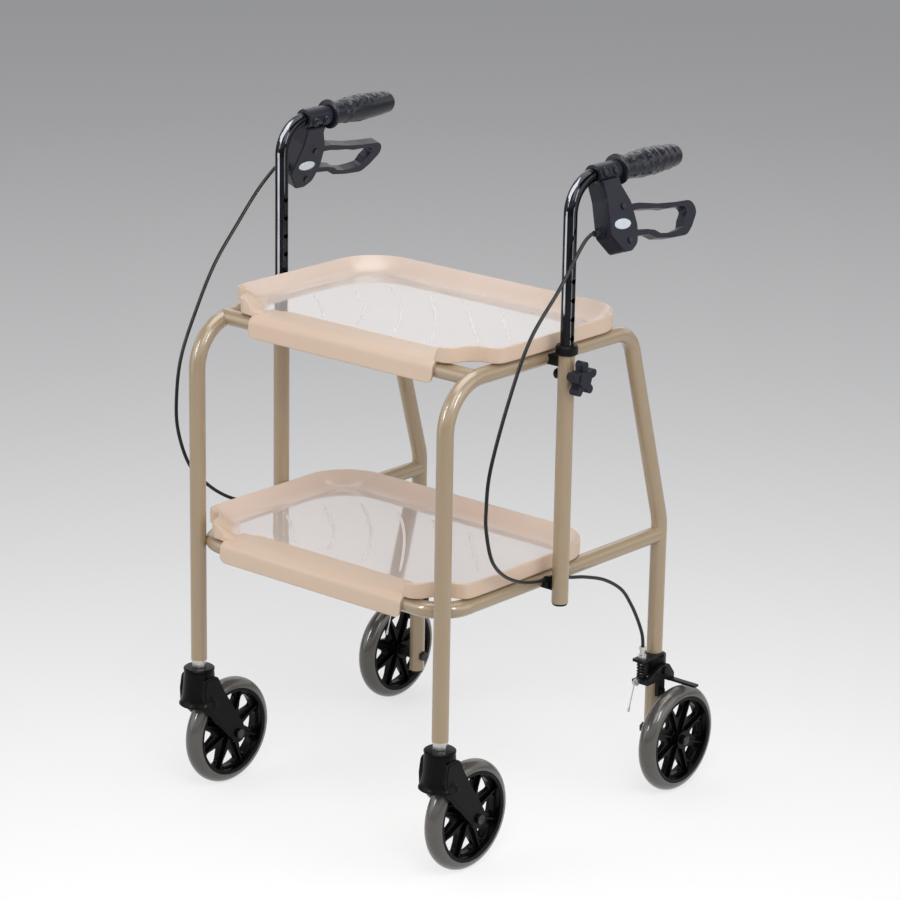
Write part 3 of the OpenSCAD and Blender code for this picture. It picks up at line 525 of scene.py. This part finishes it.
# ------------------------------------------------------------------ grips
def grip_mesh(name, sx):
    prof = [(0, 9.2), (0, 14), (0.15, 17.4), (0.7, 19.2), (1.7, 20.1), (3.2, 20.35), (4.6, 20.0), (5.6, 19.0), (6.4, 17.6), (7.6, 16.2), (9.0, 15.3), (11, 14.9), (13, 14.95)]
    prof += [(13 + k, 0) for k in range(1, 109)]
    bm = bmesh.new()
    sides = 120
    key = [(13, 14.95), (20, 15.4), (34, 17.0), (52, 18.3), (66, 18.5), (84, 17.9), (102, 16.7), (114, 15.6), (121, 14.7)]

    def body_r(y):
        for (a, ra), (b, rb) in zip(key, key[1:]):
            if y <= b:
                return ra + (rb - ra) * (y - a) / (b - a)
        return key[-1][1]

    def smooth_r(y):
        return sum(body_r(max(13, min(121, y + d))) for d in (-6, -4, -2, 0, 2, 4, 6)) / 7

    rings = []
    for y, r in prof:
        ring = []
        for k in range(sides):
            th = 2 * math.pi * k / sides          # 0 = outward, 90 deg = up
            rr = r
            if r == 0:
                rr = smooth_r(y)
                up = math.sin(th)
                # smooth palm panel on the lower inner side, parted by a slanted seam
                ang = (math.degrees(th) - 205 + 540) % 360 - 180
                edge = 34 + 44 * max(0.0, (y - 40) / 80)
                panel = sstep((edge - abs(ang)) / 6 + 0.5) * sstep((y - 34) / 8)
                seam = math.exp(-((edge - abs(ang)) / 2.6) ** 2) * sstep((y - 36) / 8)
                tex = (1 - panel) * sstep((y - 17) / 8) * sstep((116 - y) / 8)
                row = y / 4.2
                col = th * 18 / (2 * math.pi) * 1.5 + (0.5 if int(math.floor(row)) % 2 else 0.0)
                bumpy = max(0.0, math.cos(2 * math.pi * (row - 0.5)) * 0.5 + 0.5) * max(0.0, math.cos(2 * math.pi * col) * 0.5 + 0.5)
                lump = math.sin(0.33 * y + 2.1 * math.sin(2 * th + 0.4)) * math.sin(3 * th + 0.11 * y) + 0.4 * math.sin(0.61 * y - 4 * th + 1.3) * math.sin(0.19 * y + 5 * th)
                rr += tex * (0.13 * bumpy - 0.22 + 0.62 * lump) + 0.45 * seam
                rr += 0.5 * up * sstep((y - 20) / 40)
            ring.append(Vector((sx * (250 + rr * math.cos(th)), 34 + y, 901 + rr * math.sin(th))) * MM)
        rings.append(ring)
    # domed end
    for dy, f in ((1.6, 0.965), (3.2, 0.915), (4.6, 0.85), (5.7, 0.76), (6.5, 0.64), (7.0, 0.5), (7.3, 0.34), (7.45, 0.16)):
        y = 121 + dy
        ring = []
        for k in range(sides):
            th = 2 * math.pi * k / sides
            r = (smooth_r(121) + 0.5 * math.sin(th)) * f
            ring.append(Vector((sx * (250 + r * math.cos(th)), 34 + y, 901 + r * math.sin(th))) * MM)
        rings.append(ring)
    vs = ring_strip(bm, rings, False, True)
    # bore: short sleeve back along the tube so the mouth is closed
    inner = [[Vector((sx * (250 + 9.2 * math.cos(2 * math.pi * k / sides)), 34 + y, 901 + 9.2 * math.sin(2 * math.pi * k / sides))) * MM for k in range(sides)] for y in (0, 115)]
    b0 = vs[0]
    b1 = [bm.verts.new(p) for p in inner[1]]
    for i in range(sides):
        k = (i + 1) % sides
        bm.faces.new((b0[k], b0[i], b1[i], b1[k]))
    bm.faces.new(b1)
    return finish_mesh(bm, name, 60)


for side, sx in (("left", 1), ("right", -1)):
    o = add_object(side + "_grip_rubber", grip_mesh(side + "_grip_rubber", sx), MATS["grip_rubber"], side + "_handle")
    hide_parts(side + "_grip")


# ------------------------------------------------------------------ brake cables and springs
LEFT = [(274.6, -37.6, 833.3), (274.6, -41.5, 833.3), (274.6, -46, 832.8), (274.5, -62, 821.5), (273.5, -103, 774), (270.5, -156, 717), (266.5, -190, 645),
        (262, -218, 560), (259.5, -222, 507), (257, -217.5, 475), (253, -200.5, 433), (247, -169.5, 404), (240.5, -128.5, 383), (237.3, -93, 373), (236, -72, 370.4), (236, -64.8, 370.2)]
RIGHT = [(-274.6, -37.6, 833.3), (-274.6, -41.5, 833.3), (-274.6, -46, 832.8), (-276.4, -75, 808.5), (-279, -109, 771), (-281, -155, 718), (-282, -192, 656),
         (-280, -221, 600), (-277, -233, 545), (-273.5, -233.5, 501), (-268, -219, 453), (-259.5, -194, 421), (-252, -162, 397), (-244, -124, 381), (-238.3, -92, 373), (-236, -72, 370.4), (-236, -64.8, 370.2)]
LOWER = [(236, -64.8, 370.2), (236, -46, 370.2), (235.8, -34, 367), (235, -18, 360), (234.5, 16, 351.5), (232.5, 62, 335), (230, 103, 310),
         (227.5, 129, 281), (225, 148, 254), (223, 161.5, 230), (222, 166, 215), (222, 166, 208.9)]
for side, sx in (("left", 1), ("right", -1)):
    for part, route in (("upper", LEFT if sx > 0 else RIGHT), ("lower", [(sx * x, y, z) for x, y, z in LOWER])):
        bm = bmesh.new()
        path = [p * MM for p in catmull(route, 12)]
        tube(bm, path, 0.0024, 18)
        name = f"{side}_cable_{part}_sheath"
        me = finish_mesh(bm, name, 50)
        o = add_object(name, me, MATS["cable_sheath"], None if part == "upper" else "frame")
        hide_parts(f"{side}_cable_{part}")
        if part == "upper":
            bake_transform(o)
    bm = bmesh.new()
    path = []
    for i in range(6 * 36 + 1):
        f = i / (6 * 36)
        a = 2 * math.pi * i / 36
        # closed end coils, open middle
        z = 163.7 + 22.6 * (0.5 + 0.5 * math.sin(math.pi * (f - 0.5)) * 0.35 + (f - 0.5) * 0.65)
        path.append(Vector((sx * (222 + 6.2 * math.cos(a)), 166 + 6.2 * math.sin(a), z)) * MM)
    tube(bm, path, 0.00122, 10, Vector((0, 0, 1)))
    name = side + "_brake_coil"
    o = add_object(name, finish_mesh(bm, name, 50), MATS["black_steel"], "frame")
    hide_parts(side + "_brake_spring")
    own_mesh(o)


# ------------------------------------------------------------------ blank oval inlays on the brake housings
def inlay_mesh(name, sx, face):
    """A low domed oval, 32 x 13.4 mm, on one face of the canted housing."""
    cant = RAD(20)
    bm = bmesh.new()
    rings = []
    for f, h in ((1.0, 0.0), (1.0, 0.35), (0.985, 0.52), (0.95, 0.6), (0.7, 0.68), (0.35, 0.73), (0.05, 0.75)):
        ring = []
        for k in range(64):
            a = 2 * math.pi * k / 64
            ly = 5.4 + 16 * f * math.cos(a) * math.cos(RAD(3.4)) - 6.7 * f * math.sin(a) * math.sin(RAD(3.4))
            lw = 68.8 + 16 * f * math.cos(a) * math.sin(RAD(3.4)) + 6.7 * f * math.sin(a) * math.cos(RAD(3.4))
            off = face * (13.4 + h)
            x = 250 + off * math.cos(cant) + lw * math.sin(cant)
            z = 901 + off * math.sin(cant) - lw * math.cos(cant)
            ring.append(Vector((sx * x, ly, z)) * MM)
        rings.append(ring)
    ring_strip(bm, rings, True, True)
    return finish_mesh(bm, name, 40)


for side, sx in (("left", 1), ("right", -1)):
    for face, tag in ((1, "outer"), (-1, "inner")):
        name = f"{side}_{tag}_inlay"
        add_object(name, inlay_mesh(name, sx, face), BLANK, side + "_handle")


# ------------------------------------------------------------------ softened edges on the moulded CAD parts
def soften(node, width, segs=3, angle=32):
    o = NODES[node]
    w = o.modifiers.new("weld", "WELD")
    w.merge_threshold = 2e-6
    b = o.modifiers.new("edges", "BEVEL")
    b.width = width
    b.segments = segs
    b.limit_method = "ANGLE"
    b.angle_limit = RAD(angle)
    b.use_clamp_overlap = True
    b.harden_normals = False
    n = o.modifiers.new("normals", "WEIGHTED_NORMAL")
    n.keep_sharp = False
    n.weight = 50


for side in ("left", "right"):
    soften(side + "_lever", 0.0024, 4)
    soften(side + "_housing", 0.0006, 2)
    soften(side + "_housing_cover", 0.0006, 2)
    soften(side + "_knob", 0.0018, 4)
    soften(side + "_fork", 0.0012)
    soften(side + "_front_rim", 0.0007, 2)
    soften(side + "_rear_rim", 0.0007, 2)

# ------------------------------------------------------------------ camera
A, E, R = RAD(40.174), RAD(17.454), RAD(1.037)
back = Vector((math.sin(A) * math.cos(E), -math.cos(A) * math.cos(E), math.sin(E)))
right = Vector((math.cos(A), math.sin(A), 0))
up = back.cross(right)
r2 = math.cos(R) * right + math.sin(R) * up
u2 = -math.sin(R) * right + math.cos(R) * up
eye = Vector((0, 0.030, 0.450)) + back * 4.47818
cam = bpy.data.cameras.new("camera")
cam.sensor_width = 36.0
cam.lens = 131.52
cam.shift_x = -0.00933
cam.shift_y = 0.01893
cam.clip_end = 100
camo = bpy.data.objects.new("camera", cam)
camo.matrix_world = Matrix(((r2.x, u2.x, back.x, eye.x), (r2.y, u2.y, back.y, eye.y), (r2.z, u2.z, back.z, eye.z), (0, 0, 0, 1)))
scene.collection.objects.link(camo)
scene.camera = camo

# ------------------------------------------------------------------ floor and light
FLOOR_GLOW = 0.70
me = bpy.data.meshes.new("floor")
bm = bmesh.new()
bmesh.ops.create_grid(bm, x_segments=40, y_segments=40, size=30)
bm.to_mesh(me)
bm.free()
floor = bpy.data.objects.new("floor", me)
scene.collection.objects.link(floor)
m, nt, b = new_mat("floor")
tc = nt.nodes.new("ShaderNodeTexCoord")
dist = nt.nodes.new("ShaderNodeVectorMath")
dist.operation = "DISTANCE"
dist.inputs[1].default_value = (0.9 * math.sin(A), -0.9 * math.cos(A), 0)
nt.links.new(tc.outputs["Object"], dist.inputs[0])
# painted light: the floor's colour and glow fall off with distance from the object, a painted pool of light around it
FALL = [(0.5, 1.02), (0.7, 0.995), (0.9, 0.963), (1.12, 0.928), (1.37, 0.866), (1.64, 0.81), (1.94, 0.747), (2.28, 0.687), (2.65, 0.626), (3.08, 0.573),
        (3.56, 0.531), (4.12, 0.49), (4.76, 0.447), (5.52, 0.404), (6.42, 0.375), (7.41, 0.354)]
far = span(nt, dist.outputs["Value"], 0.0, 1.0, 0.0, 8.0)
def falloff_tone(v, k):
    return (k * v * (0.985 + 0.015 * v), k * v * (0.99 + 0.01 * v), k * v * (1.02 - 0.02 * v))


nt.links.new(ramp(nt, far, [(d / 8, falloff_tone(v, 0.4)) for d, v in FALL]), b.inputs["Base Color"])
nt.links.new(ramp(nt, far, [(d / 8, falloff_tone(v, 1.0)) for d, v in FALL]), b.inputs["Emission Color"])
b.inputs["Emission Strength"].default_value = FLOOR_GLOW
b.inputs["Roughness"].default_value = 0.8
b.inputs["Specular IOR Level"].default_value = 0.0
dress(floor, m)
# the floor glows for the camera, but lights nothing from below
floor.visible_diffuse = False


def area(name, loc, target, sx, sy, power, color=(1, 1, 1)):
    l = bpy.data.lights.new(name, "AREA")
    l.shape = "RECTANGLE"
    l.size, l.size_y = sx, sy
    l.energy = power
    l.color = color
    o = bpy.data.objects.new(name, l)
    o.location = loc
    o.rotation_euler = (Vector(target) - Vector(loc)).to_track_quat("-Z", "Y").to_euler()
    o.visible_camera = False
    scene.collection.objects.link(o)
    return o


def around(az, dist, z):
    """A point at that azimuth, seen from above, measured from the camera's side."""
    a = A + RAD(az)
    return (math.sin(a) * dist, -math.cos(a) * dist, z)


area("left", around(-76, 2.3, 1.1), (0, 0, 0.65), 1.5, 2.0, 10)
area("right", around(68, 2.3, 1.1), (0, 0, 0.65), 1.5, 2.0, 11)
area("front", around(6, 2.6, 3.0), (0, 0, 0.6), 1.8, 1.8, 40)
area("ceiling", (-0.2, 0.3, 3.2), (0, 0, 0.6), 2.6, 2.6, 13)
# seen only in glossy surfaces, as a ceiling panel that bounces no light
area("top", (0.0, 0.1, 3.1), (0, 0, 0.6), 2.4, 2.4, 62).visible_diffuse = False

area("back", around(180, 2.4, 2.6), (0, 0, 0.6), 3.2, 1.8, 15).visible_diffuse = False
for az, power in ((-52, 30), (38, 26)):
    area("strip", around(az, 2.6, 1.9), (0, 0, 0.6), 0.38, 1.2, power).visible_diffuse = False
# low cards that only the chromed tubes mirror
chromed = bpy.data.collections.new("chromed")
for side in ("left", "right"):
    chromed.objects.link(NODES[side + "_handle_tube"])
for az, away, high, wide, tall, power in ((-62, 1.4, 0.42, 0.9, 0.85, 50), (48, 1.4, 0.42, 0.22, 0.85, 8), (-80, 1.3, 2.5, 2.2, 2.2, 400)):
    o = area("card", around(az, away, high), (0, 0, 0.8), wide, tall, power)
    o.visible_diffuse = False
    o.light_linking.receiver_collection = chromed

world = bpy.data.worlds.new("studio")
scene.world = world
world.use_nodes = True
nt = world.node_tree
nt.nodes.clear()
out = nt.nodes.new("ShaderNodeOutputWorld")
bg = nt.nodes.new("ShaderNodeBackground")
tc = nt.nodes.new("ShaderNodeTexCoord")
sep = nt.nodes.new("ShaderNodeSeparateXYZ")
nt.links.new(tc.outputs["Generated"], sep.inputs[0])
sky = [(0.0, 0.3), (0.1667, 0.32), (0.26, 0.42), (0.325, 1.0), (0.517, 1.0), (0.625, 0.25), (1.0, 0.09)]
nt.links.new(ramp(nt, span(nt, sep.outputs["Z"], 0, 1, -0.2, 1.0), [(q, (v, v, v * 1.015)) for q, v in sky]), bg.inputs["Color"])
bg.inputs["Strength"].default_value = 1.0
nt.links.new(bg.outputs[0], out.inputs[0])
scene.view_settings.view_transform = "Standard"
scene.view_settings.look = "None"
